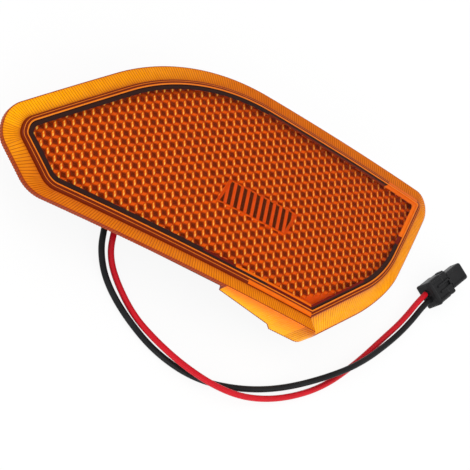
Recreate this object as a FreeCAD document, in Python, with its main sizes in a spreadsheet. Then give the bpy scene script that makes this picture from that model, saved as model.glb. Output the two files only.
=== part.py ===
import FreeCAD, Part

import math
import os
import re

from FreeCAD import Placement, Rotation, Vector

# Side marker lamp lying on its back: +X along the lamp, +Y towards its upper edge, +Z out of the lens.
# The origin is midway between the two mounting screws, on the plane of the housing's back.

doc = FreeCAD.newDocument("side_marker_lamp")
sheet = doc.addObject("Spreadsheet::Sheet", "Dimensions")

DIMENSIONS = (
    # Corners of the lens outline, and the radius at each
    ("nose_x", -65.5), ("nose_upper_y", -5.4), ("nose_upper_radius", 16.0),
    ("nose_lower_y", -13.2), ("nose_lower_radius", 8.0),
    ("heel_x", -54.6), ("heel_y", -24.4), ("heel_radius", 10.0),
    ("chin_x", 33.7), ("chin_y", -28.6), ("chin_radius", 4.0),
    ("bend_x", 53.8), ("bend_y", -10.3), ("bend_radius", 35.0),
    ("tail_x", 66.1), ("tail_y", 26.5), ("tail_radius", 5.5),
    ("brow_x", -21.4), ("brow_y", 32.3), ("brow_radius", 62.0),
    # Width of the rim along each side, then of the smooth band inside it
    ("rim_left", 4.6), ("rim_heel", 4.5), ("rim_bottom", 2.8), ("rim_chin", 5.0),
    ("rim_right", 3.8), ("rim_top", 3.5), ("rim_brow", 4.2),
    ("band_width", 4.0), ("least_radius", 0.6),
    # Heights and thicknesses of the lens
    ("face_height", 20.0), ("crown_along", 592.0), ("crown_across", 279.0),
    ("step_height", 1.0), ("rim_thickness", 1.7), ("core_thickness", 5.0),
    ("rib_depth", 2.4), ("rib_thickness", 2.0), ("rib_inset", 0.6),
    ("bevel_top", 3.2), ("bevel_drop_chin", 5.6), ("bevel_drop_right", 2.5),
    ("apron_thickness", 1.8), ("apron_start_x", 2.9), ("apron_start_depth", 6.5),
    ("apron_notch_x", 23.0), ("apron_notch_width", 2.0), ("apron_notch_depth", 11.8),
    ("apron_chin_depth", 13.9), ("apron_bend_depth", 11.0), ("apron_tail_depth", 5.0),
    # Reflex prisms and the fluted window
    ("prism_pitch", 2.5), ("prism_root", 0.3),
    ("window_x", 6.6), ("window_y", -2.8), ("window_width", 7.0),
    ("flute_pitch", 2.1), ("flute_count", 10), ("flute_depth", 0.7),
    # Rear housing
    ("tray_depth", 1.4), ("tray_floor", 1.8), ("box_length", 70.0), ("box_width", 20.0),
    ("box_wall", 2.0), ("box_floor", 2.0), ("box_radius", 3.0),
    ("screw_spacing", 84.0), ("screw_boss_diameter", 8.4), ("screw_bore", 3.2), ("screw_bore_depth", 7.0),
    ("gusset_thickness", 2.0),
    # Circuit board, its posts and screws
    ("board_end_gap", 2.0), ("board_side_gap", 1.5), ("board_thickness", 1.6), ("board_radius", 1.5),
    ("board_height", 6.8), ("post_diameter", 5.0), ("post_inset", 11.0), ("board_hole", 2.4),
    ("board_screw_diameter", 2.0), ("board_screw_length", 5.0), ("board_screw_head", 3.8),
    ("board_screw_head_height", 1.3), ("screw_clearance", 0.05),
    # Parts on the board
    ("led_spacing", 6.0), ("led_count", 3), ("led_length", 3.5), ("led_width", 2.8), ("led_height", 1.6),
    ("led_cup_diameter", 2.4), ("led_cup_depth", 0.6),
    ("resistor_length", 3.2), ("resistor_width", 1.6), ("resistor_height", 0.6), ("resistor_offset", 4.2),
    ("diode_length", 4.3), ("diode_width", 2.6), ("diode_height", 2.0), ("diode_x", -11.0),
    ("capacitor_length", 3.2), ("capacitor_width", 2.5), ("capacitor_height", 1.8), ("capacitor_x", -5.5),
    # Leads, their grommet and their joints on the board
    ("wire_diameter", 1.7), ("wire_pitch", 3.0), ("lead_inset", 4.1), ("lead_height", 4.6),
    ("lead_rise_y", 0.0), ("lead_bend", 2.4), ("lead_hole_clearance", 0.15), ("solder_height", 0.9),
    ("solder_diameter", 2.7), ("lead_top", 0.6),
    ("grommet_length", 6.4), ("grommet_height", 3.4), ("grommet_lip", 1.1), ("grommet_lip_length", 1.2),
    ("grommet_sleeve", 2.4),
    # Plug on the leads
    ("plug_x", 76.8), ("plug_y", 3.6), ("plug_heading", 51.0), ("plug_wire_pitch", 2.1),
    ("plug_body_length", 7.6), ("plug_body_width", 7.5), ("plug_body_height", 5.8),
    ("plug_collar_length", 2.6), ("plug_collar_width", 7.0),
    ("plug_nose_length", 5.8), ("plug_nose_width", 6.0), ("plug_nose_height", 4.6),
    ("plug_cavity", 1.8), ("plug_entry", 2.2), ("plug_chamfer", 0.6),
    ("latch_width", 2.4), ("latch_length", 5.0), ("latch_height", 0.9),
    ("terminal_width", 1.5), ("terminal_height", 1.6), ("terminal_pin", 0.8), ("terminal_crimp", 3.0),
)

for row, (alias, value) in enumerate(DIMENSIONS, start=1):
    sheet.set(f"A{row}", alias)
    sheet.set(f"B{row}", str(value))
    sheet.setAlias(f"B{row}", alias)
doc.recompute()

UP = Vector(0, 0, 1)
nodes = []


# Reading the sheet and binding sizes to it

def number(formula):
    return float(sheet.evalExpression(formula))


def bound(formula):
    return re.sub(r"[a-z]\w*", lambda word: "Dimensions." + word.group(0), formula)


def bind(item, **formulas):
    for name, formula in formulas.items():
        item.setExpression(name, bound(formula))


def place(item, x="0", y="0", z="0"):
    for axis, formula in (("x", x), ("y", y), ("z", z)):
        item.setExpression("Placement.Base." + axis, bound(formula))


# Short ways to add solids to the document

def shaped(name, shape):
    item = doc.addObject("Part::Feature", name)
    item.Shape = shape
    return item


def box(name, length, width, height, **corner):
    item = doc.addObject("Part::Box", name)
    bind(item, Length=length, Width=width, Height=height)
    place(item, **corner)
    return item


def centred_box(name, length, width, height, x="0", y="0", z="0"):
    return box(name, length, width, height, x=f"{x} - ({length}) / 2", y=f"{y} - ({width}) / 2", z=z)


def cylinder(name, radius, height, **foot):
    item = doc.addObject("Part::Cylinder", name)
    bind(item, Radius=radius, Height=height)
    place(item, **foot)
    return item


def extrude(name, face, height):
    item = doc.addObject("Part::Extrusion", name)
    item.Base = shaped(name + "_profile", face)
    item.DirMode = "Custom"
    item.Dir = UP
    item.Solid = True
    bind(item, LengthFwd=height)
    return item


def joined(kind, name, items):
    item = doc.addObject(kind, name)
    item.Shapes = items
    return item


def fuse(name, items):
    return joined("Part::MultiFuse", name, items)


def common(name, items):
    return joined("Part::MultiCommon", name, items)


def cut(name, base, tool):
    item = doc.addObject("Part::Cut", name)
    item.Base = base
    item.Tool = tool
    return item


def group(name, items):
    item = doc.addObject("Part::Compound", name)
    item.Links = items
    return item


def node(item, label):
    item.Label = label
    nodes.append(item)


# Outlines of straight sides with rounded corners, counter-clockwise

CORNERS = (
    ("nose_x", "nose_upper_y", "nose_upper_radius"),
    ("nose_x", "nose_lower_y", "nose_lower_radius"),
    ("heel_x", "heel_y", "heel_radius"),
    ("chin_x", "chin_y", "chin_radius"),
    ("bend_x", "bend_y", "bend_radius"),
    ("tail_x", "tail_y", "tail_radius"),
    ("brow_x", "brow_y", "brow_radius"),
)
RIMS = ("rim_left", "rim_heel", "rim_bottom", "rim_chin", "rim_right", "rim_top", "rim_brow")

lens_corners = [Vector(number(x), number(y), 0) for x, y, _ in CORNERS]
lens_radii = [number(radius) for _, _, radius in CORNERS]
rim_widths = [number(rim) for rim in RIMS]


def inset_corners(corners, insets):
    """Corners of the outline whose side i lies insets[i] further in than the side from corner i."""
    sides = []
    for corner, following, inset in zip(corners, corners[1:] + corners[:1], insets):
        along = (following - corner).normalize()
        inward = Vector(-along.y, along.x, 0)
        sides.append((corner + inward * inset, along))
    moved = []
    for (start_a, along_a), (start_b, along_b) in zip(sides[-1:] + sides[:-1], sides):
        gap = start_b - start_a
        turn = along_a.x * along_b.y - along_a.y * along_b.x
        reach = (gap.x * along_b.y - gap.y * along_b.x) / turn
        moved.append(start_a + along_a * reach)
    return moved


def rounded_wire(corners, radii, height):
    """Closed wire at the given height. A corner of radius 0 stays sharp."""
    edges = []
    starts = []
    ends = []
    middles = []
    count = len(corners)
    for i, (corner, radius) in enumerate(zip(corners, radii)):
        back = corners[i - 1] - corner
        ahead = corners[(i + 1) % count] - corner
        half_angle = back.getAngle(ahead) / 2
        reach = min(radius / math.tan(half_angle), 0.49 * back.Length, 0.49 * ahead.Length)
        back.normalize()
        ahead.normalize()
        towards = (back + ahead).normalize()
        depth = reach / math.cos(half_angle) - reach * math.tan(half_angle)
        starts.append(corner + back * reach)
        ends.append(corner + ahead * reach)
        middles.append(corner + towards * depth)
    lift = Vector(0, 0, height)
    for i in range(count):
        if (starts[i] - ends[i]).Length > 1e-6:
            edges.append(Part.Arc(starts[i] + lift, middles[i] + lift, ends[i] + lift).toShape())
        edges.append(Part.makeLine(ends[i] + lift, starts[(i + 1) % count] + lift))
    return Part.Wire(edges)


def lens_wire(further_in, height):
    """Outline that lies further in than the rim by the given distance, or the lens edge for None."""
    if further_in is None:
        return rounded_wire(lens_corners, lens_radii, height)
    return inset_wire([rim + further_in for rim in rim_widths], height)


def inset_wire(insets, height):
    smallest = number("least_radius")
    radii = []
    for i, radius in enumerate(lens_radii):
        radii.append(max(smallest, radius - (insets[i - 1] + insets[i]) / 2))
    return rounded_wire(inset_corners(lens_corners, insets), radii, height)


def ring_face(outer, inner):
    return Part.makeFace([outer, inner], "Part::FaceMakerBullseye")


def slot_wire(length, width, radius):
    """Rounded rectangle about the origin, lying flat."""
    corners = [Vector(x * length / 2, y * width / 2, 0) for x, y in ((-1, -1), (1, -1), (1, 1), (-1, 1))]
    return rounded_wire(corners, [radius] * 4, 0)


# Heights shared by the lens, the housing and the board

BASE = "face_height - core_thickness"
WELD = f"{BASE} - rib_depth"
TRAY_TOP = f"{WELD} - tray_depth"
TRAY_BACK = f"{TRAY_TOP} - tray_floor"
BOARD_TOP = "board_height + board_thickness"
PRISM_STEP = "prism_pitch / sqrt(6)"
BOARD_LENGTH = "(box_length - 2 * box_wall - 2 * board_end_gap)"
BOARD_WIDTH = "(box_width - 2 * box_wall - 2 * board_side_gap)"
POST_X = f"({BOARD_LENGTH} / 2 - post_inset)"
LEAD_X = f"(lead_inset - {BOARD_LENGTH} / 2)"
WIRE_EXIT = "-box_width / 2 - grommet_lip_length - grommet_sleeve"


def crown(name, below):
    """Barrel whose outermost line is the lens crown, the given distance below the face."""
    item = doc.addObject("Part::Torus", name)
    item.Placement = Placement(Vector(), Rotation(Vector(1, 0, 0), 90))
    bind(item, Radius1="crown_along - crown_across", Radius2=f"crown_across - ({below})")
    place(item, z="face_height - crown_along")
    return item


# Amber lens

def bevel_hull(name, below):
    """Tapered block that slopes the rim down along the two lower right sides and clears the others."""
    clear = -number("box_length")
    top = number("face_height + step_height")
    fold = number(f"face_height - bevel_top - ({below})")
    wires = []
    for height in (top, 0.0):
        insets = [clear] * len(CORNERS)
        for side, rim, drop in ((3, "rim_chin", "bevel_drop_chin"), (4, "rim_right", "bevel_drop_right")):
            insets[side] = number(rim) + (height - fold) * number(rim) / number(drop)
        corners = inset_corners(lens_corners, insets)
        radii = [0.0] * len(CORNERS)
        radii[4] = number("bend_radius") - insets[4]
        wires.append(rounded_wire(corners, radii, height))
    hull = doc.addObject("Part::Loft", name)
    hull.Sections = [shaped(name + "_section", wire) for wire in wires]
    hull.Solid = True
    hull.Ruled = True
    return hull


def apron_keep():
    """Everything above the apron's lower edge, which deepens to the right and has one notch."""
    line = (
        ("apron_start_x", "apron_start_depth"),
        ("apron_notch_x - apron_notch_width / 2", "apron_notch_depth"),
        ("apron_notch_x + apron_notch_width / 2", "apron_chin_depth"),
        ("chin_x", "apron_chin_depth"),
        ("bend_x", "apron_bend_depth"),
        ("tail_x + band_width", "apron_tail_depth"),
    )
    face_height = number("face_height")
    low_y = number("chin_y - box_width")
    points = [Vector(number(x), low_y, face_height - number(depth)) for x, depth in line]
    points.append(Vector(points[-1].x, low_y, face_height))
    points.append(Vector(points[0].x, low_y, face_height))
    profile = Part.Face(Part.makePolygon(points + points[:1]))
    return shaped("apron_keep", profile.extrude(Vector(0, number("rim_top - chin_y + box_width"), 0)))


def prism_centres(field, window):
    """Centres of the cells that lie whole inside the field and clear of the window."""
    pitch = number("prism_pitch")
    corner = pitch / math.sqrt(3)
    column_step = pitch * math.sqrt(3) / 2
    limits = field.BoundBox
    centres = []
    for column in range(math.floor(limits.XMin / column_step), math.ceil(limits.XMax / column_step) + 1):
        shift = 0.5 * (column % 2)
        for row in range(math.floor(limits.YMin / pitch) - 1, math.ceil(limits.YMax / pitch) + 1):
            centre = Vector(column * column_step, (row + shift) * pitch, limits.ZMin)
            around = [centre + hexagon_corner(corner, k) for k in range(6)]
            if window.isInside(centre):
                continue
            if all(field.isInside(point, 1e-6, True) for point in around):
                centres.append(Vector(centre.x, centre.y, 0))
    return centres


def hexagon_corner(radius, k):
    return Vector(radius * math.cos(k * math.pi / 3), radius * math.sin(k * math.pi / 3), 0)


def prism_field():
    """Cube-corner prisms as one block: three square faces a cell, with the tips pointing backwards."""
    step = number(PRISM_STEP)
    corner = number("prism_pitch") / math.sqrt(3)
    root = number(f"{BASE} - prism_root")
    cap = number(f"{BASE} + prism_root")
    field = Part.Face(lens_wire(number("band_width"), 0))
    reach = corner + number("prism_root")
    half_length = number("flute_pitch * flute_count / 2") + reach
    half_width = number("window_width / 2") + reach
    window = FreeCAD.BoundBox(
        number("window_x") - half_length, number("window_y") - half_width, -1,
        number("window_x") + half_length, number("window_y") + half_width, 1,
    )

    def key(point):
        return (round(point.x, 4), round(point.y, 4))

    faces = []
    borders = {}
    for centre in prism_centres(field, window):
        tip = centre + Vector(0, 0, root - 2 * step)
        around = []
        for k in range(6):
            level = root - step if k % 2 == 0 else root
            around.append(centre + hexagon_corner(corner, k) + Vector(0, 0, level))
        for k in (0, 2, 4):
            square = [tip, around[k], around[k + 1], around[(k + 2) % 6], tip]
            faces.append(Part.Face(Part.makePolygon(square)))
        for k in range(6):
            side = (around[k], around[(k + 1) % 6])
            partner = (key(side[1]), key(side[0]))
            if borders.pop(partner, None) is None:
                borders[(key(side[0]), key(side[1]))] = side

    following = {start: (end, side) for (start, end), side in borders.items()}
    loops = []
    while following:
        start = next(iter(following))
        spot = start
        loop = []
        while spot in following:
            spot, side = following.pop(spot)
            top = [Vector(point.x, point.y, cap) for point in side]
            faces.append(Part.Face(Part.makePolygon([side[0], side[1], top[1], top[0], side[0]])))
            loop.append(top[0])
        loops.append(Part.makePolygon(loop + loop[:1]))
    faces.append(Part.makeFace(loops, "Part::FaceMakerBullseye"))
    shell = Part.Shell(faces)
    shell.sewShape()
    return shaped("prism_field", Part.Solid(shell))


def window_flutes():
    """Row of rounded flutes that spreads the light, running across the lamp."""
    base = number(BASE)
    pitch = number("flute_pitch")
    count = int(number("flute_count"))
    start = Vector(number("window_x") - pitch * count / 2, number("window_y - window_width / 2"), base)
    lift = Vector(0, 0, number("prism_root"))
    edges = []
    for i in range(count):
        left = start + Vector(i * pitch, 0, 0)
        right = left + Vector(pitch, 0, 0)
        low = (left + right) / 2 - Vector(0, 0, number("flute_depth"))
        edges.append(Part.Arc(left, low, right).toShape())
    end = start + Vector(count * pitch, 0, 0)
    edges.append(Part.makePolygon([end, end + lift, start + lift, start]))
    profile = Part.Face(Part.Wire(Part.sortEdges(Part.Compound(edges).Edges)[0]))
    return shaped("window_flutes", profile.extrude(Vector(0, number("window_width"), 0)))


def make_lens():
    rib_outer = number("rib_inset")
    rib_inner = number("rib_inset + rib_thickness")
    low = number(WELD)
    rim_ring = ring_face(lens_wire(None, 0), lens_wire(rib_inner, 0))
    rim = cut(
        "rim",
        common("rim_top_cut", [extrude("rim_blank", rim_ring, "face_height"), crown("rim_crown", "step_height")]),
        crown("rim_under", "step_height + rim_thickness"),
    )
    bevel = bevel_hull("bevel_hull", "0")
    rim_bevelled = common("rim_bevelled", [rim, bevel])
    apron_ring = ring_face(lens_wire(None, 0), lens_wire(number("rib_inset + rib_thickness / 2"), 0))
    apron_blank = common("apron_shape", [
        extrude("apron_blank", apron_ring, "face_height"),
        crown("apron_crown", "step_height"),
        apron_keep(),
        bevel,
    ])
    apron_inner = inset_wire([number("apron_thickness")] * len(CORNERS), 0)
    apron_hollow = common("apron_hollow", [
        extrude("apron_room", Part.Face(apron_inner), "face_height"),
        crown("apron_under", "step_height + rim_thickness"),
        bevel_hull("bevel_under", "rim_thickness + apron_thickness / 2"),
    ])
    apron = cut("apron", apron_blank, apron_hollow)
    plateau = common("plateau", [
        extrude("plateau_blank", Part.Face(lens_wire(0.0, number(BASE))), "core_thickness"),
        crown("face_crown", "0"),
    ])
    rib = extrude(
        "weld_rib",
        ring_face(lens_wire(rib_outer, low), lens_wire(rib_inner, low)),
        "rib_depth + prism_root",
    )
    body = fuse("lens_body", [rim_bevelled, apron, plateau, rib])
    lens = fuse("lens_solid", [body, prism_field(), window_flutes()])
    lens.Refine = False
    node(lens, "lens")


# Black rear housing

def lens_plan(name, further_in, low, height):
    return extrude(name, Part.Face(lens_wire(further_in, number(low))), height)


def upright_slot(name, length, height, radius, depth, y):
    """Slot-shaped plug lying along Y at the leads, from the given y towards +Y."""
    face = Part.Face(slot_wire(length, height, radius))
    solid = face.extrude(Vector(0, 0, depth))
    solid.Placement = Placement(
        Vector(number(LEAD_X), y, number("lead_height")), Rotation(Vector(1, 0, 0), -90)
    )
    return shaped(name, solid)


def make_rear_housing():
    wall_y = number("-box_width / 2")
    blank = [
        lens_plan("tray_blank", number("rib_inset"), TRAY_BACK, "tray_depth + tray_floor"),
        extrude("box_blank", rounded_plan("box_length", "box_width", "box_radius"), TRAY_TOP),
    ]
    for side, sign in (("left", "-"), ("right", "")):
        centre = f"{sign}screw_spacing / 2"
        blank.append(cylinder(f"boss_{side}", "screw_boss_diameter / 2", TRAY_TOP, x=centre))
        start = "box_length / 2 - box_wall" if side == "right" else "-screw_spacing / 2"
        blank.append(box(
            f"gusset_{side}", "screw_spacing / 2 - box_length / 2 + box_wall", "gusset_thickness",
            TRAY_TOP, x=start, y="-gusset_thickness / 2",
        ))
    hollow = fuse("housing_hollow", [
        lens_plan("tray_hollow", number("rib_inset + rib_thickness"), TRAY_TOP, "tray_depth"),
        extrude("box_hollow", rounded_plan(
            "box_length - 2 * box_wall", "box_width - 2 * box_wall", "box_radius - box_wall / 2", "box_floor",
        ), f"{TRAY_TOP} - box_floor"),
    ])
    shell = cut("housing_shell", fuse("housing_blank", blank), hollow)
    posts = []
    holes = []
    for side, sign in (("left", "-"), ("right", "")):
        posts.append(cylinder(
            f"post_{side}", "post_diameter / 2", "board_height - box_floor / 2",
            x=f"{sign}{POST_X}", z="box_floor / 2",
        ))
        holes.append(cylinder(
            f"post_bore_{side}", "board_screw_diameter / 2 + screw_clearance", "board_screw_length",
            x=f"{sign}{POST_X}", z=f"{BOARD_TOP} - board_screw_length",
        ))
        holes.append(cylinder(
            f"screw_bore_{side}", "screw_bore / 2", "screw_bore_depth", x=f"{sign}screw_spacing / 2",
        ))
    holes.append(upright_slot(
        "grommet_hole", number("grommet_length"), number("grommet_height"), number("grommet_height / 2"),
        number("box_wall"), wall_y,
    ))
    housing = cut("housing_solid", fuse("housing_posts", [shell] + posts), fuse("housing_holes", holes))
    node(housing, "rear_housing")


def rounded_plan(length, width, radius, low="0"):
    face = Part.Face(slot_wire(number(length), number(width), number(radius)))
    face.translate(Vector(0, 0, number(low)))
    return face


# Circuit board and what it carries

def wire_x(side):
    return f"{LEAD_X} {'-' if side == 'black' else '+'} wire_pitch / 2"


def make_board():
    blank = extrude(
        "board_blank", rounded_plan(BOARD_LENGTH, BOARD_WIDTH, "board_radius", "board_height"), "board_thickness",
    )
    holes = []
    for side, sign in (("left", "-"), ("right", "")):
        holes.append(cylinder(
            f"board_hole_{side}", "board_hole / 2", "board_thickness", x=f"{sign}{POST_X}", z="board_height",
        ))
    for side in ("black", "red"):
        holes.append(cylinder(
            f"lead_hole_{side}", "wire_diameter / 2 + lead_hole_clearance", "board_thickness",
            x=wire_x(side), y="lead_rise_y", z="board_height",
        ))
    node(cut("board_solid", blank, fuse("board_holes", holes)), "circuit_board")


def make_board_screws():
    screws = []
    for side, sign in (("left", "-"), ("right", "")):
        x = f"{sign}{POST_X}"
        shank = cylinder(
            f"screw_shank_{side}", "board_screw_diameter / 2", "board_screw_length",
            x=x, z=f"{BOARD_TOP} - board_screw_length",
        )
        head = cylinder(f"screw_head_{side}", "board_screw_head / 2", "board_screw_head_height", x=x, z=BOARD_TOP)
        screws.append(fuse(f"board_screw_{side}", [shank, head]))
    node(group("board_screw_pair", screws), "board_screws")


def make_leds():
    leds = []
    for i in range(int(number("led_count"))):
        x = f"window_x + ({i} - (led_count - 1) / 2) * led_spacing"
        body = centred_box(f"led_body_{i}", "led_length", "led_width", "led_height", x, "window_y", BOARD_TOP)
        cup = cylinder(
            f"led_cup_{i}", "led_cup_diameter / 2", "led_cup_depth",
            x=x, y="window_y", z=f"{BOARD_TOP} + led_height - led_cup_depth",
        )
        leds.append(cut(f"led_{i}", body, cup))
    node(group("led_row", leds), "leds")


def make_small_parts():
    resistors = []
    for i in range(int(number("led_count"))):
        x = f"window_x + ({i} - (led_count - 1) / 2) * led_spacing"
        resistors.append(centred_box(
            f"resistor_{i}", "resistor_length", "resistor_width", "resistor_height",
            x, "window_y + resistor_offset", BOARD_TOP,
        ))
    node(group("resistor_row", resistors), "resistors")
    node(centred_box("diode", "diode_length", "diode_width", "diode_height", "diode_x", "0", BOARD_TOP),
         "polarity_diode")
    node(centred_box("capacitor", "capacitor_length", "capacitor_width", "capacitor_height",
                     "capacitor_x", "0", BOARD_TOP), "input_capacitor")


# Grommet and the leads' inner ends

def make_grommet():
    wall_y = number("-box_width / 2")
    wall = number("box_wall")
    length = number("grommet_length")
    height = number("grommet_height")
    lip = number("grommet_lip")
    lip_length = number("grommet_lip_length")
    sleeve = number("grommet_sleeve")
    body = fuse("grommet_body", [
        upright_slot("grommet_neck", length, height, height / 2, wall, wall_y),
        upright_slot("grommet_inner_lip", length + lip, height + lip, (height + lip) / 2, lip_length, wall_y + wall),
        upright_slot("grommet_outer_lip", length + lip, height + lip, (height + lip) / 2, lip_length,
                     wall_y - lip_length),
        upright_slot("grommet_sleeve_body", length, height, height / 2, sleeve, wall_y - lip_length - sleeve),
    ])
    bores = []
    for side in ("black", "red"):
        bore = cylinder(
            f"grommet_bore_{side}", "wire_diameter / 2",
            "box_wall + 2 * grommet_lip_length + grommet_sleeve",
        )
        bore.Placement = Placement(Vector(), Rotation(Vector(1, 0, 0), -90))
        place(bore, x=wire_x(side), y=WIRE_EXIT, z="lead_height")
        bores.append(bore)
    node(cut("grommet_solid", body, fuse("grommet_bores", bores)), "grommet")


def make_inner_leads():
    top = number(f"{BOARD_TOP} + lead_top")
    bend = number("lead_bend")
    rise_y = number("lead_rise_y")
    height = number("lead_height")
    for side in ("black", "red"):
        x = number(wire_x(side))
        start = Vector(x, number(WIRE_EXIT), height)
        turn_start = Vector(x, rise_y - bend, height)
        turn_end = Vector(x, rise_y, height + bend)
        turn_middle = Vector(x, rise_y - bend * (1 - math.sin(math.pi / 4)),
                             height + bend * (1 - math.cos(math.pi / 4)))
        path = Part.Wire([
            Part.makeLine(start, turn_start),
            Part.Arc(turn_start, turn_middle, turn_end).toShape(),
            Part.makeLine(turn_end, Vector(x, rise_y, top)),
        ])
        node(shaped(f"inner_lead_{side}_solid", round_tube(path, start, Vector(0, 1, 0))), f"inner_lead_{side}")


def make_solder_joints():
    joints = []
    for side in ("black", "red"):
        cone = doc.addObject("Part::Cone", f"solder_{side}")
        bind(cone, Radius1="solder_diameter / 2", Radius2="wire_diameter / 2 + lead_hole_clearance",
             Height="solder_height")
        place(cone, x=wire_x(side), y="lead_rise_y", z=BOARD_TOP)
        lead = cylinder(f"solder_bore_{side}", "wire_diameter / 2", "solder_height",
                        x=wire_x(side), y="lead_rise_y", z=BOARD_TOP)
        joints.append(cut(f"solder_joint_{side}", cone, lead))
    node(group("solder_pair", joints), "solder_joints")


# Loose leads: straight runs and tangent arcs over the surface that the lamp lies on

def round_tube(path, start, heading):
    section = Part.Wire(Part.makeCircle(number("wire_diameter / 2"), start, heading))
    return path.makePipeShell([section], True, True)


def cord_path(points):
    edges = []
    radii = []
    start = points[0]
    for before, corner, after in zip(points, points[1:], points[2:]):
        back = before - corner
        ahead = after - corner
        reach = 0.45 * min(back.Length, ahead.Length)
        half_turn = (math.pi - back.getAngle(ahead)) / 2
        back.normalize()
        ahead.normalize()
        radius = reach / math.tan(half_turn)
        towards = (back + ahead).normalize()
        first = corner + back * reach
        last = corner + ahead * reach
        middle = corner + towards * (radius / math.cos(half_turn) - radius)
        edges.append(Part.makeLine(start, first))
        edges.append(Part.Arc(first, middle, last).toShape())
        radii.append(radius)
        start = last
    edges.append(Part.makeLine(start, points[-1]))
    return Part.Wire(edges), radii


LYING = number("wire_diameter / 2")
BLACK_ROUTE = (
    (-28.1, -19.5, 4.0), (-26.7, -25.0, 2.0), (-22.8, -31.6, LYING), (-15.2, -38.6, LYING), (-4.4, -44.8, LYING),
    (8.5, -47.4, LYING), (22.0, -45.2, LYING), (34.5, -40.4, LYING),
    (46.0, -33.6, 3.4), (56.4, -25.6, 3.9), (66.7, -14.4, 2.2), (72.1, -6.6, 2.4),
)
RED_ROUTE = (
    (-25.2, -19.5, 4.0), (-24.0, -24.6, 2.0), (-20.4, -29.9, LYING), (-13.4, -37.2, LYING), (-6.3, -42.2, 2.6),
    (2.6, -46.3, 3.9), (13.4, -48.4, 3.9), (24.6, -47.0, 1.6), (36.0, -42.7, LYING),
    (47.4, -35.3, LYING), (57.0, -24.6, LYING), (64.4, -14.4, 1.0), (69.9, -6.6, 1.9),
)


def plug_frame():
    return Placement(
        Vector(number("plug_x"), number("plug_y"), 0), Rotation(UP, number("plug_heading"))
    )


def plug_wire_start(side):
    """Where a lead meets its contact inside the plug, and where it enters the plug."""
    across = number("plug_wire_pitch / 2") * (-1 if side == "black" else 1)
    height = number("plug_body_height / 2")
    frame = plug_frame()
    inside = frame.multVec(Vector(number("plug_entry"), across, height))
    outside = frame.multVec(Vector(-number("plug_entry"), across, height))
    return inside, outside


def make_wires():
    for side, route in (("black", BLACK_ROUTE), ("red", RED_ROUTE)):
        exit_point = Vector(number(wire_x(side)), number(WIRE_EXIT), number("lead_height"))
        inside, outside = plug_wire_start(side)
        points = [exit_point] + [Vector(*point) for point in route] + [outside, inside]
        path, radii = cord_path(points)
        tube = round_tube(path, exit_point, points[1] - points[0])
        expected = path.Length * math.pi * number("wire_diameter / 2") ** 2
        print(f"wire_{side}: length {path.Length:.1f}, volume ratio {tube.Volume / expected:.4f}, radii",
              [round(radius, 1) for radius in radii])
        node(shaped(f"wire_{side}_solid", tube), f"wire_{side}")


# Two-way plug

def plug_box(name, length, width, height, start, low, across="0"):
    """Box in the plug's own frame: along its heading, across it, and up."""
    item = doc.addObject("Part::Box", name)
    bind(item, Length=length, Width=width, Height=height)
    corner = Vector(number(start), number(f"{across} - ({width}) / 2"), number(low))
    item.Placement = plug_frame().multiply(Placement(corner, Rotation()))
    return item


def make_plug():
    middle = "plug_body_height / 2"
    body = plug_box("plug_body", "plug_body_length", "plug_body_width", "plug_body_height", "0", "0")
    collar = plug_box("plug_collar", "plug_collar_length", "plug_collar_width", "plug_nose_height",
                      "plug_body_length", f"{middle} - plug_nose_height / 2")
    nose = plug_box("plug_nose", "plug_nose_length + plug_collar_length", "plug_nose_width", "plug_nose_height",
                    "plug_body_length", f"{middle} - plug_nose_height / 2")
    latch = plug_box("plug_latch", "latch_length", "latch_width", "latch_height",
                     "plug_body_length - latch_length / 2", f"{middle} + plug_nose_height / 2")
    cavities = []
    total = "plug_body_length + plug_collar_length + plug_nose_length"
    for side, sign in (("black", "-"), ("red", "")):
        cavities.append(plug_box(f"plug_cavity_{side}", total, "plug_cavity", "plug_cavity", "0",
                                 f"{middle} - plug_cavity / 2", f"{sign}plug_wire_pitch / 2"))
    shell = cut("plug_shell_solid", fuse("plug_blank", [body, collar, nose, latch]), fuse("plug_cavities", cavities))
    node(shell, "plug_shell")

    terminals = []
    for side, sign in (("black", "-"), ("red", "")):
        across = f"{sign}plug_wire_pitch / 2"
        crimp = plug_box(f"terminal_crimp_{side}", "terminal_crimp", "terminal_width", "terminal_height",
                         "plug_entry", f"{middle} - plug_cavity / 2", across)
        pin = plug_box(f"terminal_pin_{side}", f"{total} - plug_entry - plug_chamfer", "terminal_pin",
                       "terminal_pin", "plug_entry", f"{middle} - terminal_pin / 2", across)
        terminals.append(fuse(f"terminal_{side}", [crimp, pin]))
    node(group("terminal_pair", terminals), "plug_terminals")


make_lens()
make_rear_housing()
make_board()
make_board_screws()
make_leds()
make_small_parts()
make_grommet()
make_inner_leads()
make_solder_joints()
make_wires()
make_plug()
doc.recompute()

faults = []
for item in doc.Objects:
    if {"Invalid", "Error"} & set(item.State):
        faults.append(f"{item.Name}: {item.State}")
for item in nodes:
    if item.Shape.isNull() or not item.Shape.isValid():
        faults.append(f"{item.Label}: bad shape")
if faults:
    raise RuntimeError("; ".join(faults))

os.makedirs("parts", exist_ok=True)
for item in nodes:
    item.Shape.exportStep(f"parts/{item.Label}.step")
    box_limits = item.Shape.BoundBox
    print(f"{item.Label}: {len(item.Shape.Solids)} solid(s), volume {item.Shape.Volume:.1f},",
          f"z {box_limits.ZMin:.2f} to {box_limits.ZMax:.2f}")
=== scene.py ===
from collections import namedtuple
import math

import bmesh
import bpy
from mathutils import Matrix, Vector
from mathutils.geometry import delaunay_2d_cdt


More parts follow.
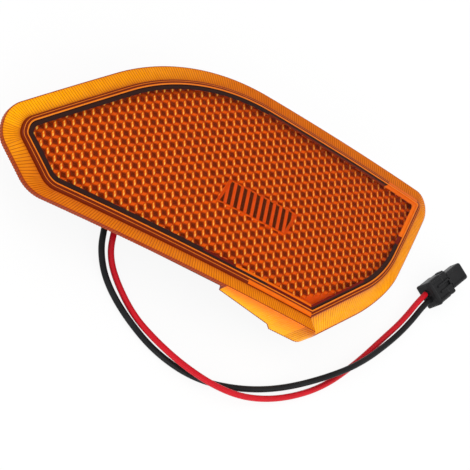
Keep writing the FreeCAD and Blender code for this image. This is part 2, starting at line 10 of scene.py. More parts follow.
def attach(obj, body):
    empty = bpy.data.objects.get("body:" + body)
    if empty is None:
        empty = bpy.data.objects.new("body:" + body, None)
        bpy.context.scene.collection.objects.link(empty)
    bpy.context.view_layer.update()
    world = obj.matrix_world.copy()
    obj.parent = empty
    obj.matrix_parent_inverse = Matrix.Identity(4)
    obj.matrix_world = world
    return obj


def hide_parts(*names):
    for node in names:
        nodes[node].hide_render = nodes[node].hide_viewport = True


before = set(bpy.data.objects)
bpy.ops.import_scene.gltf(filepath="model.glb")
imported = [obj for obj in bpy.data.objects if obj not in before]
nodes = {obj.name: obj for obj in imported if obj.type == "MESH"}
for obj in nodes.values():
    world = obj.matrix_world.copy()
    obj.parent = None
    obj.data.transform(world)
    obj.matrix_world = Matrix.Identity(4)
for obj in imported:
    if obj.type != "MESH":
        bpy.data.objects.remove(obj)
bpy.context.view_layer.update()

# Side marker lamp on a white floor. Lengths below are in millimetres, in the frame of the CAD part.

MM = 0.001
scene = bpy.context.scene

# Lens outline: each corner's place and radius, the width of the rim on the side that starts there,
# how far the outer edge of that rim slopes down, and how yellow the rim is before and after the corner,
# which is painted light and shade
Corner = namedtuple("Corner", "x y radius rim drop tone_before tone_after")
CORNERS = (
    Corner(-65.5, -5.4, 16.0, 4.6, 0.0, 1.0, 1.0),
    Corner(-65.5, -13.2, 8.0, 4.5, 0.0, 0.7, 0.6),
    Corner(-54.6, -24.4, 10.0, 2.8, 0.0, 0.3, 0.2),
    Corner(33.7, -28.6, 4.0, 5.0, 5.0, 0.38, 1.0),
    Corner(53.8, -10.3, 35.0, 3.8, 1.4, 0.9, 0.7),
    Corner(66.1, 26.5, 5.5, 3.5, 0.0, 0.5, 0.2),
    Corner(-21.4, 32.3, 62.0, 4.2, 0.0, 0.15, 0.65),
)
# Sides, each counted by the corner that it starts at
BOTTOM_SIDE, CHIN_SIDE, RIGHT_SIDE, TOP_SIDE = 2, 3, 4, 5
# Least radius of an inner corner, the largest share of a side that an arc takes, and how far the outline
# stays inside the CAD solid's
LEAST_RADIUS = 0.6
ARC_SHARE = 0.49
FREE_PLAY = 0.01

# Crowned face with its radii along and across, the step down to the rim, the rim, and the clear layer over
# the prisms
FACE_HEIGHT = 19.99
CROWN_ALONG = 592.0
CROWN_ACROSS = 279.0
STEP_HEIGHT = 1.0
RIM_THICKNESS = 1.7
CORE_THICKNESS = 1.1

# Meshing: pitch and inset of the grid on the clear face, the angle from which an edge is sharp, digits in
# which places are compared, kinds of triangulation and the distances at which it merges points, and how far
# the lens reaches from the middle
FACE_GRID = 3.0
FACE_GRID_INSET = 1.5
SHARP_ANGLE = math.radians(24)
PLACE_DIGITS = 4
WHOLE_HULL, INSIDE_LOOPS = 0, 1
FACE_MERGE = 1e-5
BACK_MERGE = 1e-4
REACH_X = max(abs(corner.x) for corner in CORNERS)
REACH_Y = max(abs(corner.y) for corner in CORNERS)

# Weld rib: height of the housing under it, the gap between them, and the distances of the rib's sides and of
# the flat margin inside the rim
WELD_HEIGHT = 12.6
WELD_GAP = 0.05
RIB_OUTER = 0.6
RIB_INNER = 1.6
MARGIN = 1.8

# Fine ribs across the rim, and how far their grooves cut into its edge as a share of the rim's width
SERRATION_PITCH = 0.76
STATIONS_PER_RIB = 4
GROOVE_DEPTH = 0.1
TOOTH_SHARE = 0.03

# Outer wall: where it starts under the step, the lip at its foot, its tones at the top and at the lip, lower
# at the top as painted shade under the rim, and the tones elsewhere
WALL_START = 0.5
LIP_HEIGHT = 0.4
WALL_PAINTED_SHADE = (0.3, 3.0)
EVEN_TONES = (1.0, 1.0)

# Underside of the rim: share of the slope that is left inside the wall, and its rings as shares of the
# rim's width
INNER_DROP_SHARE = 0.55
UNDERSIDE_SHARES = (0.6, 0.95)

# Apron under the lower right edge: x and height along its lower edge, where it ends on the right side, its
# thickness, and where its ribs begin
APRON_LINE = (
    (2.9, 13.5), (22.0, 8.2), (24.0, 6.1),
    (CORNERS[CHIN_SIDE].x, 6.1), (CORNERS[RIGHT_SIDE].x, 9.0), (70.1, 15.0),
)
APRON_TOP_Y = 3.2
APRON_THICKNESS = 1.8
APRON_RIBBED_X = 29.0

# Where the painted shade in the bands round the field changes colour: x along the top and the bottom, y along
# the right
TOP_ORANGE_X = 48.0
BOTTOM_ORANGE_X = 9.5
RIGHT_ORANGE_Y = 6.0
RIGHT_MAROON_Y = 2.5
DARK_MAROON_X = 16.0
INNER_MAROON_X = -6.0
INNER_ORANGE_X = 5.0

# Reflex prisms: pitch, corner radius and column spacing of the hexagons, height of one facet edge, depth of
# the highest points, and the field's border. Near the chin only whole cells inside a further border are kept.
PRISM_PITCH = 2.5
PRISM_CORNER = PRISM_PITCH / math.sqrt(3)
PRISM_COLUMN = PRISM_PITCH * math.sqrt(3) / 2
PRISM_STEP = 0.42
PRISM_ROOT = 0.1
FIELD_INSET = 1.95
WHOLE_CELL_REACH = 12.0
WHOLE_CELL_INSET = 4.0

# Fluted window: its corners, the width of its frame, and the flutes' pitch, depth and steps
WINDOW = ((-5.0, -6.1), (15.6, -6.7), (18.2, 0.0), (-2.5, 0.6))
WINDOW_LEFT = WINDOW[0][0]
WINDOW_CLEARANCE = 0.9
FLUTE_PITCH = 2.1
FLUTE_DEPTH = 0.4
FLUTE_STEPS = 6


# Materials

def new_material(name):
    material = bpy.data.materials.new(name)
    material.use_nodes = True
    tree = material.node_tree
    return material, tree, tree.nodes["Principled BSDF"]


def set_inputs(item, **inputs):
    """Set a node's inputs, whose names have underscores for spaces."""
    for name, value in inputs.items():
        item.inputs[name.replace("_", " ")].default_value = value


def add(tree, kind, **inputs):
    item = tree.nodes.new(kind)
    set_inputs(item, **inputs)
    return item


def ramp(tree, source, low, high, start=0.3, stop=0.7):
    """Colour that goes from low to high as the source goes from start to stop."""
    item = tree.nodes.new("ShaderNodeValToRGB")
    item.color_ramp.elements[0].position = start
    item.color_ramp.elements[0].color = (*low, 1.0)
    item.color_ramp.elements[1].position = stop
    item.color_ramp.elements[1].color = (*high, 1.0)
    tree.links.new(source, item.inputs["Fac"])
    return item.outputs["Color"]


def spread(tree, source, low, high):
    """Number that goes from low to high with the source."""
    item = add(tree, "ShaderNodeMapRange", To_Min=low, To_Max=high)
    tree.links.new(source, item.inputs["Value"])
    return item.outputs["Result"]


def noise(tree, scale, detail=4.0):
    """Cloudy pattern, fixed to the object."""
    place = tree.nodes.new("ShaderNodeTexCoord")
    item = add(tree, "ShaderNodeTexNoise", Scale=scale, Detail=detail)
    tree.links.new(place.outputs["Object"], item.inputs["Vector"])
    return item.outputs["Fac"]


def bump(tree, shader, source, strength, distance):
    item = add(tree, "ShaderNodeBump", Strength=strength, Distance=distance)
    tree.links.new(source, item.inputs["Height"])
    tree.links.new(item.outputs["Normal"], shader.inputs["Normal"])


def moulded(name, low, high, rough_low, rough_high, specular=0.5):
    """Moulded plastic or rubber: slight mottling, uneven gloss and a fine grain."""
    material, tree, shader = new_material(name)
    clouds = noise(tree, scale=180.0)
    tree.links.new(ramp(tree, clouds, low, high), shader.inputs["Base Color"])
    tree.links.new(spread(tree, clouds, rough_low, rough_high), shader.inputs["Roughness"])
    set_inputs(shader, Specular_IOR_Level=specular)
    bump(tree, shader, noise(tree, scale=2500.0, detail=2.0), strength=0.35, distance=0.00002)
    return material


def metal(name, low, high, rough_low, rough_high):
    """Plated metal with uneven gloss and fine scratches."""
    material, tree, shader = new_material(name)
    clouds = noise(tree, scale=900.0)
    tree.links.new(ramp(tree, clouds, low, high), shader.inputs["Base Color"])
    tree.links.new(spread(tree, clouds, rough_low, rough_high), shader.inputs["Roughness"])
    set_inputs(shader, Metallic=1.0)
    bump(tree, shader, noise(tree, scale=4000.0, detail=2.0), strength=0.2, distance=0.00001)
    return material


def clear_plastic(name, tint):
    """Clear moulded skin with slight waves and a polished coat. It hardly refracts, so that the facets under
    it keep their light."""
    material, tree, shader = new_material(name)
    set_inputs(shader, Base_Color=(*tint, 1.0), Transmission_Weight=1.0, IOR=1.06)
    set_inputs(shader, Coat_Weight=0.08, Coat_Roughness=0.03)
    waves = noise(tree, scale=160.0, detail=2.0)
    tree.links.new(spread(tree, waves, 0.0, 0.02), shader.inputs["Roughness"])
    bump(tree, shader, waves, strength=0.05, distance=0.00002)
    return material


def times(tree, first, second):
    """Product of two colours."""
    item = tree.nodes.new("ShaderNodeMix")
    item.data_type = "RGBA"
    item.blend_type = "MULTIPLY"
    item.inputs["Factor"].default_value = 1.0
    tree.links.new(first, item.inputs["A"])
    tree.links.new(second, item.inputs["B"])
    return item.outputs["Result"]


def calculate(tree, operation, *values):
    """One arithmetic step. Each value is a number or another node's output."""
    item = tree.nodes.new("ShaderNodeMath")
    item.operation = operation
    for socket, value in zip(item.inputs, values):
        if isinstance(value, float):
            socket.default_value = value
        else:
            tree.links.new(value, socket)
    return item.outputs[0]


def pattern_place(tree):
    """The face's own pattern coordinates: both together, then each alone."""
    uv = tree.nodes.new("ShaderNodeUVMap")
    uv.uv_map = "facet"
    split = tree.nodes.new("ShaderNodeSeparateXYZ")
    tree.links.new(uv.outputs["UV"], split.inputs["Vector"])
    return uv.outputs["UV"], split.outputs["X"], split.outputs["Y"]


# Shades that multiply a colour: its mottles and none. Finish of what lies under the clear layer, colour of a
# painted glint, half widths at which a facet's painted highlight streak and a rib's painted groove shade
# begin and end to fade, and blur of edges
MOTTLE = (0.92, 0.88, 0.84)
UNCHANGED = (1.0, 1.0, 1.0)
BURIED_FINISH = {"Roughness": 0.3, "Specular_IOR_Level": 0.08}
PAINTED_GLINT = (1.0, 1.0, 0.75)
PAINTED_STREAK_FADE = (0.08, 0.26)
PAINTED_GROOVE_FADE = (0.34, 0.48)
FACET_BLUR = 0.1
STRIPE_BLUR = 0.04


def from_middle(tree, place):
    """Distance of one pattern coordinate from the middle of the pattern, which is 1 wide."""
    return calculate(tree, "ABSOLUTE", calculate(tree, "SUBTRACT", place, 0.5))


def mottled(tree, colour):
    clouds = noise(tree, scale=420.0, detail=3.0)
    return times(tree, colour, ramp(tree, clouds, MOTTLE, UNCHANGED, 0.3, 0.6))


def overlay(tree, distance, near, far, base, colour):
    """The colour within the near distance, the base beyond the far one."""
    share = add(tree, "ShaderNodeMapRange", From_Min=near, From_Max=far, To_Min=1.0, To_Max=0.0)
    tree.links.new(distance, share.inputs["Value"])
    item = tree.nodes.new("ShaderNodeMix")
    item.data_type = "RGBA"
    tree.links.new(share.outputs["Result"], item.inputs["Factor"])
    tree.links.new(base, item.inputs["A"])
    item.inputs["B"].default_value = (*colour, 1.0)
    return item.outputs["Result"]


def facet(name, middle, edge, reach, painted_streak=None, painted_glints=()):
    """Prism facet: one colour in its middle, another from the given reach out to its edges. A painted
    highlight streak runs up its middle, and painted glints have each a place in the facet and a size."""
    material, tree, shader = new_material(name)
    place, along, across = pattern_place(tree)
    sides = [from_middle(tree, along), from_middle(tree, across)]
    outermost = calculate(tree, "MAXIMUM", *sides)
    result = mottled(tree, ramp(tree, outermost, middle, edge, reach - FACET_BLUR, reach + FACET_BLUR))
    # Painted highlight streak up the middle, then painted glints
    if painted_streak:
        result = overlay(tree, sides[1], *PAINTED_STREAK_FADE, result, painted_streak)
    for u, v, size in painted_glints:
        away = add(tree, "ShaderNodeVectorMath")
        away.operation = "DISTANCE"
        away.inputs[1].default_value = (u, v, 0.0)
        tree.links.new(place, away.inputs[0])
        result = overlay(tree, away.outputs["Value"], size / 2, size, result, PAINTED_GLINT)
    tree.links.new(result, shader.inputs["Base Color"])
    set_inputs(shader, **BURIED_FINISH)
    return material


def flat_facet(name, colour):
    """Surface of one colour, for which the reach makes no difference."""
    return facet(name, colour, colour, 0.4)


def striped(name, dark, light, dark_share):
    """Stripes of painted light and shade along the flutes, one dark and one light in each."""
    material, tree, shader = new_material(name)
    _, across, _ = pattern_place(tree)
    stripes = ramp(tree, across, dark, light, dark_share - STRIPE_BLUR, dark_share + STRIPE_BLUR)
    tree.links.new(mottled(tree, stripes), shader.inputs["Base Color"])
    set_inputs(shader, **BURIED_FINISH)
    return material


def glossy_amber(name, low, high, groove=1.0):
    """Glossy amber plastic. The pattern's height goes from the low to the high tone, which is painted light
    and shade on the rim and the apron, and its width is one rib whose groove is darker with painted shade."""
    material, tree, shader = new_material(name)
    _, across, tone = pattern_place(tree)
    result = mottled(tree, ramp(tree, tone, low, high, 0.0, 1.0))
    # Painted shade in each rib's groove
    if groove < 1.0:
        painted_groove_shade = (groove, groove * 0.7, groove * 0.5)
        line = ramp(tree, from_middle(tree, across), UNCHANGED, painted_groove_shade, *PAINTED_GROOVE_FADE)
        result = times(tree, result, line)
    tree.links.new(result, shader.inputs["Base Color"])
    set_inputs(shader, Roughness=0.22, Specular_IOR_Level=0.06, Coat_Weight=0.04, Coat_Roughness=0.05)
    return material


# Finishes of the lens by the name of the skin
SKINS = {
    "clear": clear_plastic("amber_clear", (1.0, 0.62, 0.12)),
    # Rim and apron go from orange to yellow with the tone, which is painted light and shade
    "rim": glossy_amber("amber_rim", (0.56, 0.09, 0.002), (1.0, 0.4, 0.0), 0.5),
    # Rim's outer edge and the wall under it: dark amber as painted shade
    "rim_edge_painted_shade": glossy_amber("amber_edge_painted_shade", (0.3, 0.028, 0.001), (0.4, 0.06, 0.001), 0.5),
    "apron": glossy_amber("amber_apron", (0.95, 0.14, 0.0), (1.0, 0.46, 0.0)),
    "under": glossy_amber("amber_under", (0.5, 0.1, 0.004), (0.75, 0.22, 0.004)),
    "ridge": glossy_amber("amber_ridge", (0.72, 0.15, 0.008), (0.78, 0.2, 0.01)),
    # Bands round the field: black, dark red and maroon painted shade of the dark housing behind the lens
    "band_painted_black_shade": glossy_amber("amber_painted_black_shade", (0.024, 0.008, 0.006), (0.028, 0.009, 0.007)),
    "band_painted_red_shade": glossy_amber("amber_painted_red_shade", (0.14, 0.013, 0.001), (0.17, 0.016, 0.001)),
    "band_painted_maroon_shade": glossy_amber("amber_painted_maroon_shade", (0.1, 0.004, 0.001), (0.16, 0.006, 0.001)),
    "band_orange": glossy_amber("amber_orange", (0.68, 0.095, 0.0), (0.82, 0.16, 0.0)),
    # Each prism cell's three facets are one amber plastic, coloured with painted light and shade: dark where
    # the housing's shade shows through, bright where light comes back, and half lit between
    "facet_painted_dark": facet("facet_painted_dark", (0.15, 0.018, 0.01), (0.42, 0.05, 0.01), 0.38),
    # Bright facet: painted light, with a painted highlight streak and painted glints
    "facet_painted_bright": facet(
        "facet_painted_bright", (0.85, 0.175, 0.02), (0.5, 0.07, 0.012), 0.42,
        painted_streak=(1.0, 0.5, 0.07), painted_glints=((0.26, 0.5, 0.3), (0.8, 0.5, 0.16)),
    ),
    "facet_painted_half_light": facet("facet_painted_half_light", (0.84, 0.165, 0.015), (0.46, 0.06, 0.012), 0.36),
    "flat_ember": flat_facet("flat_ember", (0.72, 0.1, 0.015)),
    "frame": flat_facet("window_frame", (0.6, 0.085, 0.015)),
    "frame_line": flat_facet("frame_line", (0.95, 0.26, 0.04)),
    # Flutes: one side of each painted dark as shade, the other light
    "flutes": striped("window_flutes", (0.07, 0.014, 0.014), (0.72, 0.11, 0.035), 0.62),
}
FACETS = ("facet_painted_dark", "facet_painted_bright", "facet_painted_half_light")
SKIN_NUMBERS = {name: number for number, name in enumerate(SKINS)}


# Outline loops of the lens

Arc = namedtuple("Arc", "centre radius first turn")
Station = namedtuple("Station", "corner share on_arc")


def inset_corners(insets):
    """Corners of the outline whose side i lies insets[i] further in."""
    places = [Vector((corner.x, corner.y)) for corner in CORNERS]
    sides = []
    for corner, following, inset in zip(places, places[1:] + places[:1], insets):
        along = (following - corner).normalized()
        sides.append((corner + Vector((-along.y, along.x)) * inset, along))
    moved = []
    for (start_a, along_a), (start_b, along_b) in zip(sides[-1:] + sides[:-1], sides):
        gap = start_b - start_a
        turn = along_a.x * along_b.y - along_a.y * along_b.x
        moved.append(start_a + along_a * ((gap.x * along_b.y - gap.y * along_b.x) / turn))
    return moved


def loop_arcs(insets):
    """Centre, radius, first angle and turn of each rounded corner."""
    corners = inset_corners(insets)
    count = len(corners)
    arcs = []
    for i, corner in enumerate(corners):
        radius = max(LEAST_RADIUS, CORNERS[i].radius - (insets[i - 1] + insets[i]) / 2)
        back = corners[i - 1] - corner
        ahead = corners[(i + 1) % count] - corner
        half_angle = back.angle(ahead) / 2
        reach = min(radius / math.tan(half_angle), ARC_SHARE * back.length, ARC_SHARE * ahead.length)
        radius = reach * math.tan(half_angle)
        halfway = (back.normalized() + ahead.normalized()).normalized()
        centre = corner + halfway * (reach / math.cos(half_angle))
        first = corner + back.normalized() * reach - centre
        arcs.append(Arc(centre, radius, math.atan2(first.y, first.x), math.pi - 2 * half_angle))
    return arcs


def arc_point(arc, share):
    angle = arc.first + arc.turn * share
    return arc.centre + Vector((math.cos(angle), math.sin(angle))) * arc.radius


def make_stations():
    """Places round the outline: a corner, a share of its arc or of the side after it, and which of these."""
    stations = []
    arcs = loop_arcs([0.0] * len(CORNERS))
    for i, arc in enumerate(arcs):
        following = arcs[(i + 1) % len(arcs)]
        side = arc_point(following, 0.0) - arc_point(arc, 1.0)
        for on_arc, length in ((True, arc.radius * arc.turn), (False, side.length)):
            steps = STATIONS_PER_RIB * max(1, round(length / SERRATION_PITCH))
            stations.extend(Station(i, step / steps, on_arc) for step in range(steps))
    return stations


STATIONS = make_stations()


def outline(rim_share, further):
    """Points round the lens. A rim share of 0 is its outer edge and 1 the rim's inner edge, and further is
    how much more they lie inside."""
    arcs = loop_arcs([corner.rim * rim_share + further + FREE_PLAY for corner in CORNERS])
    points = []
    for i, share, on_arc in STATIONS:
        if on_arc:
            points.append(arc_point(arcs[i], share))
        else:
            following = arcs[(i + 1) % len(arcs)]
            points.append(arc_point(arcs[i], 1.0).lerp(arc_point(following, 0.0), share))
    return points


OUTER = outline(0.0, 0.0)


def crown(point):
    """Height of the crowned face."""
    across = CROWN_ALONG - CROWN_ACROSS + math.sqrt(CROWN_ACROSS ** 2 - point.y ** 2)
    return FACE_HEIGHT - CROWN_ALONG + math.sqrt(across ** 2 - point.x ** 2)


def back_plane(point):
    """Height of the flat back of the clear layer."""
    return crown(point) - CORE_THICKNESS


def rim_under(point, drop=0.0):
    """Height of the rim's underside."""
    return crown(point) - STEP_HEIGHT - RIM_THICKNESS - drop


def smooth_mix(before, after, share):
    """Value between two others, which leaves the one and reaches the other smoothly."""
    weight = share * share * (3 - 2 * share)
    return before * (1 - weight) + after * weight


def station_drop(station):
    """How far the rim's outer edge slopes down at a station, mixed round the corners."""
    i, share, on_arc = station
    if not on_arc:
        return CORNERS[i].drop
    return smooth_mix(CORNERS[i - 1].drop, CORNERS[i].drop, share)


def painted_station_tone(station):
    """How yellow the rim is at a station, as painted light and shade, mixed round the corners and along
    the sides.
    """
    i, share, on_arc = station
    if on_arc:
        return smooth_mix(CORNERS[i].tone_before, CORNERS[i].tone_after, share)
    return smooth_mix(CORNERS[i].tone_after, CORNERS[(i + 1) % len(CORNERS)].tone_before, share)


def in_groove(k):
    return k % STATIONS_PER_RIB == 0


def on_side(k, side):
    """Whether a station lies on the straight part of a side."""
    return STATIONS[k].corner == side and not STATIONS[k].on_arc


def apron_height(point):
    """Height of the apron's lower edge, or None where there is no apron."""
    if point.y > APRON_TOP_Y or point.x < APRON_LINE[0][0]:
        return None
    for (x0, z0), (x1, z1) in zip(APRON_LINE, APRON_LINE[1:]):
        if point.x <= x1:
            return z0 + (z1 - z0) * (point.x - x0) / (x1 - x0)
    return None


def inside(point, polygon):
    """Whether a point lies inside a closed outline."""
    hit = False
    for a, b in zip(polygon, polygon[1:] + polygon[:1]):
        if (a.y > point.y) != (b.y > point.y):
            if point.x < a.x + (point.y - a.y) * (b.x - a.x) / (b.y - a.y):
                hit = not hit
    return hit


def grid_numbers(reach, pitch):
    """Whole numbers of pitches that cover the reach on both sides of the middle."""
    count = math.ceil(reach / pitch)
    return range(-count, count + 1)


# The lens as one closed mesh

class LensMesh:
    """Mesh with one vertex at each place, and a skin and a pattern on each face."""

    def __init__(self):
        self.mesh = bmesh.new()
        self.pattern = self.mesh.loops.layers.uv.new("facet")
        self.spots = {}

    def spot(self, point, height):
        """The one vertex at a place."""
        key = tuple(round(value, PLACE_DIGITS) for value in (point.x, point.y, height))
        if key not in self.spots:
            self.spots[key] = self.mesh.verts.new((point.x * MM, point.y * MM, height * MM))
        return self.spots[key]

    def face(self, corners, skin, smooth=False, places=None):
        """One face with its skin. Places are its corners' coordinates in the face's own pattern."""
        distinct = list(dict.fromkeys(corners))
        if len(distinct) > 2 and self.mesh.faces.get(distinct) is None:
            made = self.mesh.faces.new(distinct)
            made.smooth = smooth
            made.material_index = SKIN_NUMBERS[skin]
            if places:
                for loop, place in zip(made.loops, places):
                    loop[self.pattern].uv = place

    def join(self, ring_a, ring_b, skin, smooth=False, tones=EVEN_TONES):
        """Band of faces between two rings, with one pattern per rib. The skin is a name or a function of the
        station, and the tones scale the rim's yellow, which is painted light and shade, on the two rings."""
        count = len(ring_a)
        tone_a, tone_b = tones
        for k in range(count):
            following = (k + 1) % count
            name = skin if isinstance(skin, str) else skin(k)
            start = (k % STATIONS_PER_RIB) / STATIONS_PER_RIB
            stop = start + 1 / STATIONS_PER_RIB
            here = painted_station_tone(STATIONS[k])
            ahead = painted_station_tone(STATIONS[following])
            places = (
                (start, here * tone_a), (stop, ahead * tone_a),
                (stop, ahead * tone_b), (start, here * tone_b),
            )
            self.face((ring_a[k], ring_a[following], ring_b[following], ring_b[k]), name, smooth, places)


lens = LensMesh()


class Plan:
    """Points and lines, seen from above, that cut a surface of the lens into triangles."""

    def __init__(self):
        self.points = []
        self.lines = []

    def add_line(self, places, closed=True):
        start = len(self.points)
        self.points.extend(places)
        count = len(places)
        self.lines.extend((start + i, start + (i + 1) % count) for i in range(count if closed else count - 1))

    def triangles(self, kind, merge):
        """Places, triangles as numbers of places, and the numbers of the plan's points at each place."""
        found, _, triangles, origins, _, _ = delaunay_2d_cdt(self.points, self.lines, [], kind, merge)
        return found, triangles, origins


def from_above(vert):
    return Vector((vert.co.x / MM, vert.co.y / MM))


def vertices_at(found, origins, ring, height):
    """Vertices at the places of a plan that starts with a ring: the ring's own, else new ones at a height."""
    verts = []
    for place, sources in zip(found, origins):
        own = [ring[i] for i in sources if i < len(ring)]
        verts.append(own[0] if own else lens.spot(place, height(place)))
    return verts


def top_ring(rim_share, below, groove):
    """Ring on the rim's top face, lower where the grooves run."""
    ring = []
    for k, place in enumerate(outline(rim_share, 0.0)):
        drop = station_drop(STATIONS[k]) * (1 - rim_share)
        ring.append(lens.spot(place, crown(place) - below - drop - (groove if in_groove(k) else 0.0)))
    return ring


def face_ring(further, below):
    return [lens.spot(place, crown(place) - below) for place in outline(1.0, further)]


def band_skin(k):
    """Dark red painted shade in the band inside the rim, orange towards the right ends of the top and bottom
    sides.
    """
    x = OUTER[k].x
    if on_side(k, TOP_SIDE) and x > TOP_ORANGE_X or on_side(k, BOTTOM_SIDE) and x > BOTTOM_ORANGE_X:
        return "band_orange"
    return "band_painted_red_shade"


def near_tail(k):
    """Whether a station lies near the corner between the right and the top side."""
    if STATIONS[k].corner == RIGHT_SIDE:
        return OUTER[k].y > RIGHT_ORANGE_Y
    return STATIONS[k].corner == TOP_SIDE and OUTER[k].x > TOP_ORANGE_X


def fades(k, bottom_x):
    """Whether the black painted shade fades at a station: just before the tail, or beyond an x on the bottom
    side.
    """
    if STATIONS[k].corner == RIGHT_SIDE:
        return OUTER[k].y > RIGHT_MAROON_Y
    return on_side(k, BOTTOM_SIDE) and OUTER[k].x > bottom_x


def dark_band_skin(k):
    """Black painted shade in the band, orange near the tail, and lighter maroon painted shade just before
    that and towards the chin.
    """
    if near_tail(k):
        return "band_orange"
    return "band_painted_maroon_shade" if fades(k, DARK_MAROON_X) else "band_painted_black_shade"


def inner_band_skin(k):
    """Innermost part of the band of black painted shade: red painted shade along the top, orange near the
    tail and towards the chin, and maroon painted shade beyond the chin and where the black fades."""
    side = STATIONS[k].corner
    if near_tail(k):
        return "band_orange"
    if side == TOP_SIDE:
        return "band_painted_red_shade"
    if on_side(k, BOTTOM_SIDE) and OUTER[k].x > INNER_ORANGE_X:
        return "band_orange"
    return "band_painted_maroon_shade" if side == CHIN_SIDE or fades(k, INNER_MAROON_X) else "band_painted_black_shade"


def wall_skin(k):
    """Outer wall: painted shade under the rim, yellow on the apron, ribbed on the right part of that."""
    if apron_height(OUTER[k]) is None:
        return "rim_edge_painted_shade"
    return "rim" if OUTER[k].x > APRON_RIBBED_X else "apron"


# Rings from the clear face outwards: distance inside the rim, depth below the crown, skin up to the next ring
TOP_PROFILE = (
    (3.0, 0.0, inner_band_skin),
    (2.4, 0.0, dark_band_skin),
    (1.95, 0.02, dark_band_skin),
    (1.8, 0.14, dark_band_skin),
    (1.68, -0.02, "ridge"),
    (1.5, -0.16, "ridge"),
    (1.3, -0.1, "band_painted_red_shade"),
    (1.2, 0.1, "band_painted_red_shade"),
    (1.05, 0.14, band_skin),
    (0.72, 0.18, "ridge"),
    (0.58, 0.19, band_skin),
    (0.25, 0.32, band_skin),
    (0.1, 0.6, "band_painted_red_shade"),
    (0.05, 0.88, "band_painted_red_shade"),
)
# Rings across the rim: share of its width, depth below the crown, depth of the grooves, tone, skin up to the
# next ring. The lower tones are painted shade, most of it beside the dark band at the rim's inner edge
RIM_PROFILE = (
    (1.0, STEP_HEIGHT, 0.0, 0.3, "rim"),
    (0.85, STEP_HEIGHT, GROOVE_DEPTH, 0.75, "rim"),
    (0.5, STEP_HEIGHT, GROOVE_DEPTH, 1.0, "rim"),
    (0.2, STEP_HEIGHT, GROOVE_DEPTH, 1.0, "rim"),
    (0.06, STEP_HEIGHT + 0.04, GROOVE_DEPTH, 0.8, "rim_edge_painted_shade"),
    (0.0, STEP_HEIGHT + 0.2, 0.0, 0.8, "rim_edge_painted_shade"),
)


def build_front():
    """Clear face, and the rings from it to the rim's outer edge, the last of which is returned."""
    rings = [face_ring(further, below) for further, below, _ in TOP_PROFILE]
    rings += [top_ring(share, below, groove) for share, below, groove, _, _ in RIM_PROFILE]
    skins = [row[-1] for row in TOP_PROFILE + RIM_PROFILE]
    tones = [1.0] * len(TOP_PROFILE) + [tone for _, _, _, tone, _ in RIM_PROFILE]
    for i, (ring_a, ring_b) in enumerate(zip(rings, rings[1:])):
        lens.join(ring_a, ring_b, skins[i], True, tones[i:i + 2])
    plan = Plan()
    plan.add_line([from_above(vert) for vert in rings[0]])
    inner = outline(1.0, TOP_PROFILE[0][0] + FACE_GRID_INSET)
    for column in grid_numbers(REACH_X, FACE_GRID):
        for row in grid_numbers(REACH_Y, FACE_GRID):
            place = Vector((column * FACE_GRID, row * FACE_GRID))
            if inside(place, inner):
                plan.points.append(place)
    found, triangles, origins = plan.triangles(INSIDE_LOOPS, FACE_MERGE)
    verts = vertices_at(found, origins, rings[0], crown)
    for triangle in triangles:
        lens.face([verts[i] for i in triangle], "clear", True)
    return rings[-1]


def build_underside(edge_ring):
    """Outer wall, apron, underside of the rim and weld rib, in to the flat margin, whose ring is returned."""
    inner = outline(0.0, APRON_THICKNESS)
    rim_inner = outline(1.0, 0.0)
    wall = []
    lip = []
    foot_outer = []
    foot_inner = []
    shelf = []
    for k, station in enumerate(STATIONS):
        place = OUTER[k].lerp(rim_inner[k], TOOTH_SHARE if in_groove(k) else 0.0)
        drop = station_drop(station)
        under = rim_under(place, drop)
        low = apron_height(OUTER[k])
        has_apron = low is not None and low < under
        wall.append(lens.spot(place, under + RIM_THICKNESS - WALL_START))
        lip.append(lens.spot(place, (low if has_apron else under) + LIP_HEIGHT))
        foot_outer.append(lens.spot(place, low if has_apron else under))
        under_inner = rim_under(inner[k], drop * INNER_DROP_SHARE)
        foot_inner.append(lens.spot(inner[k], low if has_apron else under_inner))
        shelf.append(lens.spot(inner[k], under_inner))
    rings = [edge_ring, wall, lip, foot_outer, foot_inner, shelf]
    for share in UNDERSIDE_SHARES:
        ring = []
        for k, place in enumerate(outline(share, 0.0)):
            ring.append(lens.spot(place, rim_under(place, station_drop(STATIONS[k]) * (1 - share))))
        rings.append(ring)
    rings.append([lens.spot(place, rim_under(place)) for place in outline(1.0, RIB_OUTER)])
    for further in (RIB_OUTER, RIB_INNER):
        rings.append([lens.spot(place, WELD_HEIGHT + WELD_GAP) for place in outline(1.0, further)])
    for further in (RIB_INNER, MARGIN):
        rings.append([lens.spot(place, back_plane(place)) for place in outline(1.0, further)])
    # The weld rib and the margin under the band carry its black painted shade too
    skins = [wall_skin, wall_skin, "rim_edge_painted_shade", "rim_edge_painted_shade"] + ["under"] * 6 + ["band_painted_black_shade"] * 2
    for ring_a, ring_b, skin in zip(rings, rings[1:], skins):
        lens.join(ring_a, ring_b, skin, tones=WALL_PAINTED_SHADE if ring_a is wall else EVEN_TONES)
    return rings[-1]


def hexagon_corner(k):
    return Vector((PRISM_CORNER * math.cos(k * math.pi / 3), PRISM_CORNER * math.sin(k * math.pi / 3)))


def hexagon(centre):
    return [centre + hexagon_corner(k) for k in range(6)]


def cell_centre(column, row):
    return Vector((column * PRISM_COLUMN, (row + 0.5 * (column % 2)) * PRISM_PITCH))


def cell_round(point):
    """Centre of the prism cell round a point."""
    before = math.floor(point.x / PRISM_COLUMN)
    centres = []
    for column in (before, before + 1):
        centres.append(cell_centre(column, round(point.y / PRISM_PITCH - 0.5 * (column % 2))))
    return min(centres, key=lambda centre: (centre - point).length)


def facet_round(point, centre):
    """Which of a cell's three facets a point lies on: 0, 1 or 2."""
    away = point - centre
    return int(math.atan2(away.y, away.x) % (2 * math.pi) // (2 * math.pi / 3))


